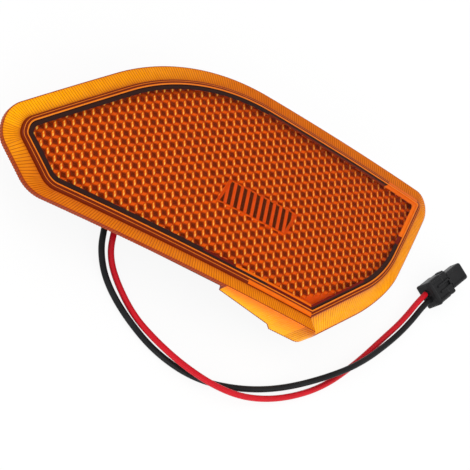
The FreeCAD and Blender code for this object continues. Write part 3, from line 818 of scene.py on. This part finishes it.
def facet_place(point, centre, which):
    """Place of a point along the two inner edges of a facet, each 1 long."""
    away = point - centre
    first = hexagon_corner(2 * which)
    second = hexagon_corner(2 * which + 2)
    area = first.cross(second)
    return away.cross(second) / area, first.cross(away) / area


def prism_height(point):
    centre = cell_round(point)
    along, across = facet_place(point, centre, facet_round(point, centre))
    return back_plane(point) - PRISM_ROOT - (2 - along - across) * PRISM_STEP


def add_cells(plan):
    """Outlines and inner edges of the prism cells."""
    reach = outline(1.0, FIELD_INSET - PRISM_CORNER)[::STATIONS_PER_RIB]
    for column in grid_numbers(REACH_X, PRISM_COLUMN):
        for row in grid_numbers(REACH_Y, PRISM_PITCH):
            centre = cell_centre(column, row)
            if inside(centre, reach):
                corners = hexagon(centre)
                plan.add_line(corners)
                for corner in corners[::2]:
                    plan.add_line((centre, corner), False)


def whole_enough(centre, whole):
    """Whether a prism cell is kept: near the chin, only if all of it lies inside the whole cells' border."""
    chin = Vector((CORNERS[CHIN_SIDE].x, CORNERS[CHIN_SIDE].y))
    if (centre - chin).length > WHOLE_CELL_REACH:
        return True
    return all(inside(corner, whole) for corner in hexagon(centre))


def add_flutes(plan, window):
    """Lines along the flutes, from edge to edge of the window."""
    step = FLUTE_PITCH / FLUTE_STEPS
    count = math.ceil((max(corner.x for corner in window) - WINDOW_LEFT) / step)
    for i in range(1, count):
        x = WINDOW_LEFT + i * step
        ends = []
        for a, b in zip(window, window[1:] + window[:1]):
            if (a.x > x) != (b.x > x):
                ends.append(a.lerp(b, (x - a.x) / (b.x - a.x)))
        plan.add_line(ends, False)


def flute_place(point, middle):
    """Place across the flute that a triangle's middle lies on."""
    return (point.x - WINDOW_LEFT) / FLUTE_PITCH - math.floor((middle.x - WINDOW_LEFT) / FLUTE_PITCH)


def flute_height(point):
    return back_plane(point) - FLUTE_DEPTH * abs(math.sin(math.pi * (point.x - WINDOW_LEFT) / FLUTE_PITCH))


class Relief:
    """Part of the back that stands out from the flat, with vertices of its own."""

    def __init__(self, height):
        self.height = height
        self.verts = {}
        self.sides = set()

    def add_triangle(self, triangle, corners, skin, places):
        for i, corner in zip(triangle, corners):
            if i not in self.verts:
                self.verts[i] = lens.spot(corner, self.height(corner))
        lens.face([self.verts[i] for i in triangle], skin, False, places)
        self.sides.update(zip(triangle, triangle[1:] + triangle[:1]))

    def close(self, flat):
        """Walls to the flat along the sides that only one triangle has."""
        for a, b in self.sides:
            if (b, a) not in self.sides:
                lens.face((self.verts[a], self.verts[b], flat[b], flat[a]), "frame_line")


def build_back(margin_ring):
    """Cube-corner cells with their tips backwards, cut off at the border and at the window's frame but whole
    near the chin, the flutes of the window, and the flat margin round them."""
    margin = [from_above(vert) for vert in margin_ring]
    border = outline(1.0, FIELD_INSET)[::STATIONS_PER_RIB]
    whole = outline(1.0, WHOLE_CELL_INSET)[::STATIONS_PER_RIB]
    window = [Vector(corner) for corner in WINDOW]
    middle = sum(window, Vector((0.0, 0.0))) / len(window)
    hole = [corner + (corner - middle).normalized() * WINDOW_CLEARANCE for corner in window]
    plan = Plan()
    for loop in (margin, border, hole, window):
        plan.add_line(loop)
    add_cells(plan)
    add_flutes(plan, window)
    found, triangles, origins = plan.triangles(WHOLE_HULL, BACK_MERGE)
    flat = vertices_at(found, origins, margin_ring, back_plane)
    prisms = Relief(prism_height)
    flutes = Relief(flute_height)
    for triangle in triangles:
        corners = [found[i] for i in triangle]
        centroid = sum(corners, Vector((0.0, 0.0))) / 3
        centre = cell_round(centroid)
        if not inside(centroid, margin):
            continue
        if inside(centroid, window):
            places = [(flute_place(corner, centroid), 0.5) for corner in corners]
            flutes.add_triangle(triangle, corners, "flutes", places)
        elif inside(centroid, hole):
            lens.face([flat[i] for i in triangle], "frame")
        elif inside(centroid, border) and whole_enough(centre, whole):
            which = facet_round(centroid, centre)
            places = [facet_place(corner, centre, which) for corner in corners]
            prisms.add_triangle(triangle, corners, FACETS[which], places)
        else:
            lens.face([flat[i] for i in triangle], "flat_ember")
    prisms.close(flat)
    flutes.close(flat)


def make_lens():
    edge_ring = build_front()
    margin_ring = build_underside(edge_ring)
    build_back(margin_ring)
    bmesh.ops.recalc_face_normals(lens.mesh, faces=lens.mesh.faces)
    for edge in lens.mesh.edges:
        if len(edge.link_faces) == 2:
            edge.smooth = edge.calc_face_angle(0.0) < SHARP_ANGLE
    data = bpy.data.meshes.new("amber_lens")
    lens.mesh.to_mesh(data)
    piece = bpy.data.objects.new("amber_lens", data)
    scene.collection.objects.link(piece)
    for material in SKINS.values():
        data.materials.append(material)
    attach(piece, "root")
    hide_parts("lens")


make_lens()


# Plug, in its own frame: along its heading, across it and up

BLACK_NYLON = moulded("black_nylon", (0.008, 0.008, 0.009), (0.015, 0.015, 0.016), 0.3, 0.42, specular=0.15)
PLUG_PLACE = Vector((76.8, 3.6, 0.0))
PLUG_HEADING = 51.0
BODY_LENGTH = 7.6
BODY_WIDTH = 7.5
BODY_HEIGHT = 5.8
COLLAR_LENGTH = 2.6
COLLAR_WIDTH = 7.0
NOSE_LENGTH = 5.8
NOSE_WIDTH = 5.4
NOSE_HEIGHT = 4.6
HALF_BODY = BODY_WIDTH / 2
HALF_COLLAR = COLLAR_WIDTH / 2
HALF_NOSE = NOSE_WIDTH / 2
COLLAR_END = BODY_LENGTH + COLLAR_LENGTH
NOSE_END = COLLAR_END + NOSE_LENGTH
PLUG_MIDDLE = BODY_HEIGHT / 2
NOSE_LOW = PLUG_MIDDLE - NOSE_HEIGHT / 2
NOSE_TOP = PLUG_MIDDLE + NOSE_HEIGHT / 2
LATCH_INNER = 0.6
LATCH_OUTER = 1.2
LATCH_LOW = NOSE_TOP - 0.4
ENTRY_RADIUS = 1.05
ENTRY_DEPTH = 0.5
ENTRY_PITCH = 2.1

# Boxes of the plug: their reach along it, across it and up, and the rounding of their edges
Block = namedtuple("Block", "along across up rounding")
BODY = Block((0.0, BODY_LENGTH - 0.8), (-HALF_BODY, HALF_BODY), (0.0, BODY_HEIGHT - 0.4), 0.9)
REAR_BAND = Block((0.2, 1.6), (-HALF_BODY, HALF_BODY), (0.0, BODY_HEIGHT), 0.5)
COLLAR = Block(
    (BODY_LENGTH - 2.0, COLLAR_END - 1.4), (-HALF_COLLAR, HALF_COLLAR), (NOSE_LOW - 0.2, NOSE_TOP), 0.35,
)
NOSE = Block((BODY_LENGTH, NOSE_END), (-HALF_NOSE, HALF_NOSE), (NOSE_LOW, NOSE_TOP), 0.8)
LATCH_BRIDGE = Block(
    (COLLAR_END - 2.4, COLLAR_END - 1.5), (-LATCH_OUTER, LATCH_OUTER), (LATCH_LOW, BODY_HEIGHT), 0.15,
)
# Boxes that come once on each side, with their reach from the middle outwards
RAIL = Block(
    (1.0, BODY_LENGTH - 1.2), (HALF_BODY - 1.3, HALF_BODY - 0.6), (BODY_HEIGHT - 1.0, BODY_HEIGHT), 0.2,
)
BARB = Block(
    (COLLAR_END - 2.4, COLLAR_END - 1.1), (HALF_COLLAR - 0.6, HALF_BODY),
    (PLUG_MIDDLE - 1.2, PLUG_MIDDLE + 1.4), 0.2,
)
LATCH_ARM = Block((3.0, COLLAR_END - 1.6), (LATCH_INNER, LATCH_OUTER), (LATCH_LOW, BODY_HEIGHT), 0.15)
NOSE_RAIL = Block(
    (COLLAR_END - 1.6, NOSE_END - 1.4), (HALF_NOSE - 1.1, HALF_NOSE - 0.5), (LATCH_LOW, NOSE_TOP + 0.2), 0.15,
)


def add_block(mesh, block):
    """Box between two values each way, with rounded edges."""
    ends = (block.along, block.across, block.up)
    size = [high - low for low, high in ends]
    centre = Vector([(low + high) / 2 for low, high in ends])
    place = Matrix.Translation(centre) @ Matrix.Diagonal((*size, 1.0))
    made = bmesh.ops.create_cube(mesh, size=1.0, matrix=place)
    edges = list(dict.fromkeys(edge for vert in made["verts"] for edge in vert.link_edges))
    bmesh.ops.bevel(
        mesh, geom=edges, offset=block.rounding, offset_type="OFFSET", segments=3, profile=0.5,
        affect="EDGES",
    )


def add_entry(mesh, side):
    """Round entry of a lead at the back of the plug."""
    place = Matrix.Translation((0.0, side * ENTRY_PITCH / 2, PLUG_MIDDLE))
    bmesh.ops.create_cone(
        mesh, cap_ends=True, segments=24, radius1=ENTRY_RADIUS, radius2=ENTRY_RADIUS, depth=ENTRY_DEPTH,
        matrix=place @ Matrix.Rotation(math.pi / 2, 4, "Y"),
    )


def make_plug():
    mesh = bmesh.new()
    for block in (BODY, REAR_BAND, COLLAR, NOSE):
        add_block(mesh, block)
    for side in (-1, 1):
        for block in (RAIL, BARB, LATCH_ARM, NOSE_RAIL):
            add_block(mesh, block._replace(across=sorted(side * reach for reach in block.across)))
        add_entry(mesh, side)
    add_block(mesh, LATCH_BRIDGE)
    turn = Matrix.Rotation(math.radians(PLUG_HEADING), 4, "Z")
    place = Matrix.Scale(MM, 4) @ Matrix.Translation(PLUG_PLACE) @ turn
    bmesh.ops.transform(mesh, matrix=place, verts=mesh.verts)
    data = bpy.data.meshes.new("plug")
    mesh.to_mesh(data)
    data.materials.append(BLACK_NYLON)
    piece = bpy.data.objects.new("plug", data)
    scene.collection.objects.link(piece)
    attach(piece, "root")
    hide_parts("plug_shell")
    return piece


plug = make_plug()


# Leads: name, CAD node, slot, material, length and route

BLACK_PVC = moulded("black_pvc", (0.008, 0.008, 0.009), (0.016, 0.016, 0.017), 0.3, 0.42, specular=0.1)
RED_PVC = moulded("red_pvc", (0.5, 0.004, 0.012), (0.58, 0.006, 0.016), 0.3, 0.42, specular=0.15)
WIRE_DIAMETER = 1.7
LYING = WIRE_DIAMETER / 2
LEADS = (
    ("black_lead", "wire_black", "black_wire", BLACK_PVC, 146.9, (
        (-28.4, -13.6, 4.6), (-28.1, -19.5, 4.0), (-26.7, -25.0, 2.0),
        (-22.8, -31.6, LYING), (-15.2, -38.6, LYING), (-4.4, -44.8, LYING),
        (8.5, -47.4, LYING), (22.0, -45.2, LYING), (34.5, -40.4, LYING),
        (46.0, -33.6, 3.4), (56.4, -25.6, 3.9), (66.7, -14.4, 2.2), (72.1, -6.6, 2.4),
        (76.23, 1.23, 2.9), (79.0, 4.65, 2.9),
    )),
    ("red_lead", "wire_red", "red_wire", RED_PVC, 145.9, (
        (-25.4, -13.6, 4.6), (-25.2, -19.5, 4.0), (-24.0, -24.6, 2.0),
        (-20.4, -29.9, LYING), (-13.4, -37.2, LYING),
        (-6.3, -42.2, 2.6), (2.6, -46.3, 3.9), (13.4, -48.4, 3.9), (24.6, -47.0, 1.6),
        (36.0, -42.7, LYING), (47.4, -35.3, LYING), (57.0, -24.6, LYING),
        (64.4, -14.4, 1.0), (69.9, -6.6, 1.9),
        (74.6, 2.55, 2.9), (77.37, 5.97, 2.9),
    )),
)


def make_lead(name, node_name, slot, material, length, route):
    curve = bpy.data.curves.new(name, "CURVE")
    curve.dimensions = "3D"
    curve.bevel_depth = WIRE_DIAMETER / 2 * MM
    curve.bevel_resolution = 5
    curve.use_fill_caps = True
    line = curve.splines.new("NURBS")
    line.points.add(len(route) - 1)
    for point, place in zip(line.points, route):
        point.co = (place[0] * MM, place[1] * MM, place[2] * MM, 1.0)
    line.order_u = 3
    line.use_endpoint_u = True
    line.resolution_u = 12
    piece = bpy.data.objects.new(name, curve)
    scene.collection.objects.link(piece)
    curve.materials.append(material)
    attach(piece, "root")
    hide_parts(node_name)


for lead in LEADS:
    make_lead(*lead)


# Carried-over CAD nodes

BLACK_ABS = moulded("black_abs", (0.010, 0.010, 0.010), (0.018, 0.018, 0.018), 0.42, 0.6)
BLACK_RUBBER = moulded("black_rubber", (0.012, 0.012, 0.012), (0.02, 0.02, 0.02), 0.6, 0.8)
SOLDER_MASK = moulded("solder_mask", (0.01, 0.10, 0.03), (0.02, 0.15, 0.05), 0.3, 0.45)
ZINC_STEEL = metal("zinc_steel", (0.55, 0.55, 0.57), (0.72, 0.72, 0.73), 0.25, 0.4)
TIN = metal("tin", (0.6, 0.6, 0.6), (0.8, 0.8, 0.78), 0.2, 0.35)
LED_WHITE = moulded("led_white", (0.7, 0.69, 0.6), (0.82, 0.81, 0.72), 0.35, 0.5)
CHIP_BLACK = moulded("chip_black", (0.012, 0.012, 0.012), (0.03, 0.03, 0.03), 0.4, 0.6)
CHIP_TAN = moulded("chip_tan", (0.42, 0.28, 0.14), (0.52, 0.36, 0.2), 0.4, 0.55)
NODE_MATERIALS = {
    "rear_housing": BLACK_ABS,
    "grommet": BLACK_RUBBER,
    "inner_lead_black": BLACK_PVC,
    "inner_lead_red": RED_PVC,
    "circuit_board": SOLDER_MASK,
    "board_screws": ZINC_STEEL,
    "solder_joints": TIN,
    "plug_terminals": TIN,
    "leds": LED_WHITE,
    "resistors": CHIP_BLACK,
    "polarity_diode": CHIP_BLACK,
    "input_capacitor": CHIP_TAN,
}


def paint(node, material):
    for item in node.material_slots:
        item.material = material
    if not node.material_slots:
        node.data.materials.append(material)


for name, material in NODE_MATERIALS.items():
    paint(nodes[name], material)


# Floor, light and camera. Floor and lights are placed in metres, and the floor lies just under the lamp.

FLOOR_HALF = 3.0
FLOOR_HEIGHT = -0.0002
FLOOR_GLOW_SHARE = 0.9
FLOOR_COLOUR = (0.9, 0.9, 0.9, 1.0)
WHITE = (1.0, 1.0, 1.0, 1.0)

# The photo's camera: its place, its axes, and its focal length and picture width in pixels
CAMERA_PLACE = Vector((-176.38, -192.24, 344.66))
CAMERA_RIGHT = Vector((0.8183, 0.1806, 0.5458))
CAMERA_DOWN = Vector((0.3796, -0.8827, -0.277))
CAMERA_FORWARD = Vector((0.4317, 0.4338, -0.7908))
FOCAL_PIXELS = 1600.0
IMAGE_PIXELS = 470.0
SENSOR_WIDTH = 36.0
CLIP_START = 0.01


def seen(tree, share):
    """The given share for rays from the camera, through clear plastic and off gloss, else 0."""
    path = tree.nodes.new("ShaderNodeLightPath")
    direct = calculate(tree, "MAXIMUM", path.outputs["Is Camera Ray"], path.outputs["Is Transmission Ray"])
    any_of_them = calculate(tree, "MAXIMUM", direct, path.outputs["Is Glossy Ray"])
    return calculate(tree, "MULTIPLY", any_of_them, share)


def make_floor():
    """White floor that keeps the lamp's shadow."""
    signs = ((-1, -1), (1, -1), (1, 1), (-1, 1))
    corners = [(x * FLOOR_HALF, y * FLOOR_HALF, FLOOR_HEIGHT) for x, y in signs]
    data = bpy.data.meshes.new("floor")
    data.from_pydata(corners, [], [(0, 1, 2, 3)])
    floor = bpy.data.objects.new("floor", data)
    scene.collection.objects.link(floor)
    material = bpy.data.materials.new("white_floor")
    material.use_nodes = True
    tree = material.node_tree
    tree.nodes.clear()
    out = tree.nodes.new("ShaderNodeOutputMaterial")
    matt = add(tree, "ShaderNodeBsdfDiffuse", Color=FLOOR_COLOUR)
    glow = add(tree, "ShaderNodeEmission", Color=WHITE, Strength=1.0)
    mix = tree.nodes.new("ShaderNodeMixShader")
    tree.links.new(seen(tree, FLOOR_GLOW_SHARE), mix.inputs["Fac"])
    tree.links.new(matt.outputs["BSDF"], mix.inputs[1])
    tree.links.new(glow.outputs["Emission"], mix.inputs[2])
    tree.links.new(mix.outputs["Shader"], out.inputs["Surface"])
    data.materials.append(material)


def make_camera():
    data = bpy.data.cameras.new("camera")
    data.sensor_width = SENSOR_WIDTH
    data.lens = FOCAL_PIXELS / IMAGE_PIXELS * SENSOR_WIDTH
    data.clip_start = CLIP_START
    camera = bpy.data.objects.new("camera", data)
    scene.collection.objects.link(camera)
    axes = Matrix((CAMERA_RIGHT, -CAMERA_DOWN, -CAMERA_FORWARD)).transposed()
    camera.matrix_world = Matrix.Translation(CAMERA_PLACE * MM) @ axes.to_4x4()
    scene.camera = camera


def make_world():
    """White studio surround."""
    world = bpy.data.worlds.new("studio")
    scene.world = world
    world.use_nodes = True
    set_inputs(world.node_tree.nodes["Background"], Color=WHITE, Strength=1.0)


def add_softbox(name, place, size, power):
    """Soft light that points at the middle of the scene."""
    data = bpy.data.lights.new(name, "AREA")
    data.shape = "RECTANGLE"
    data.size, data.size_y = size
    data.energy = power
    light = bpy.data.objects.new(name, data)
    scene.collection.objects.link(light)
    light.location = place
    light.rotation_euler = (-Vector(place)).to_track_quat("-Z", "Y").to_euler()


make_floor()
make_camera()
make_world()
add_softbox("softbox_left", place=(-0.7, 0.3, 0.9), size=(0.5, 0.8), power=2.0)
add_softbox("softbox_front", place=(0.15, -1.0, 0.35), size=(0.8, 0.5), power=3.0)
add_softbox("softbox_right", place=(0.8, -0.4, 0.8), size=(0.4, 0.6), power=1.0)

scene.view_settings.view_transform = "Standard"
scene.cycles.max_bounces = 24
scene.cycles.glossy_bounces = 12
scene.cycles.transmission_bounces = 16
